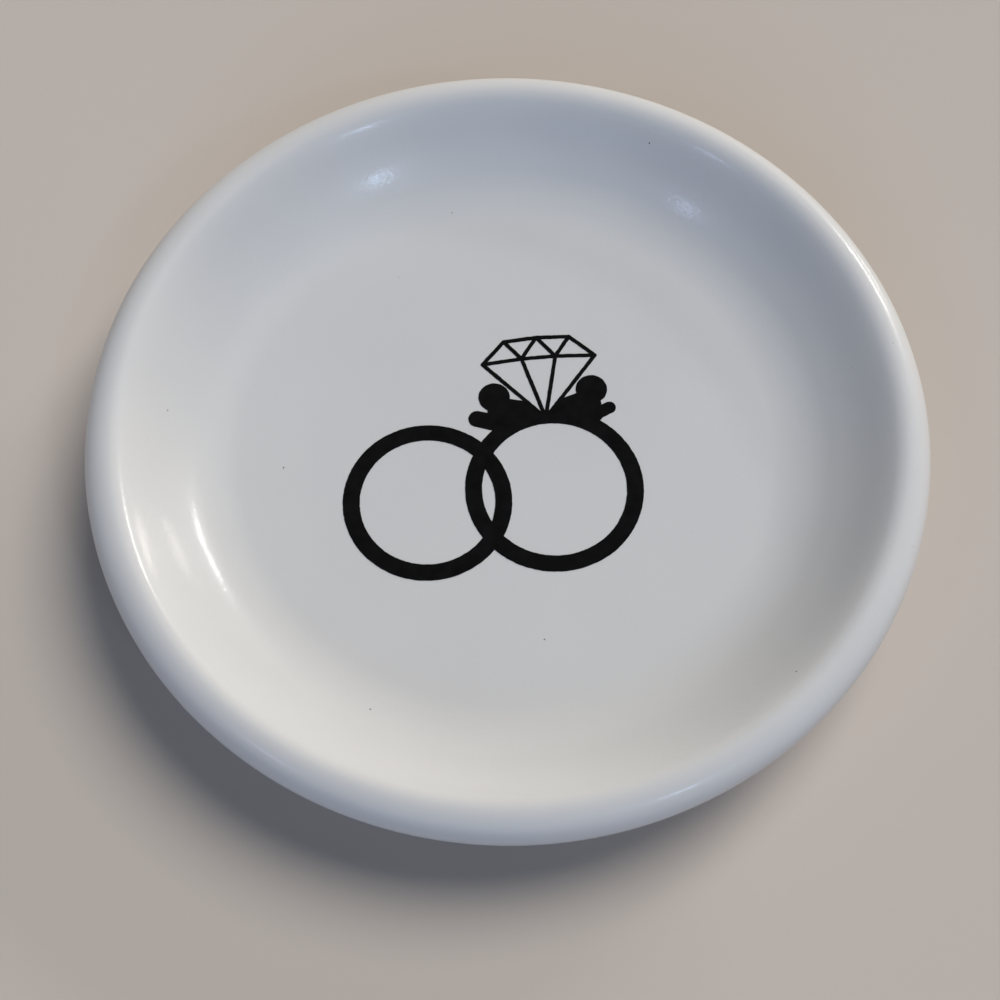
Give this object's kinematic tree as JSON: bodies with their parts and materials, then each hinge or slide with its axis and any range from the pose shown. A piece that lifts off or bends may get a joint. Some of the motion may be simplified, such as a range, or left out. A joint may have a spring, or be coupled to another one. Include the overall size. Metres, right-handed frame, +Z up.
{
  "type": "ring dish",
  "caption": "Round glazed ceramic ring dish with a flat floor, sloped wall, thick rolled lip and foot ring, printed with linked rings and a faceted stone.",
  "frame": {"origin": "where the dish's axis meets the surface that the foot ring stands on", "axes": "+Z up along the dish's axis, +Y towards the top of the print, +X to the print's right"},
  "size_m": [0.1, 0.1, 0.0142],
  "materials": {
    "clay": "unglazed fired clay",
    "glaze": "satin white glaze",
    "print": "thin black ink film"
  },
  "bodies": {
    "root": {"clay_body": "clay", "upper_glaze": "glaze", "base_glaze": "glaze", "plain_ring_print": "print", "stone_ring_print": "print", "stone_print": "print"}
  },
  "joints": []
}
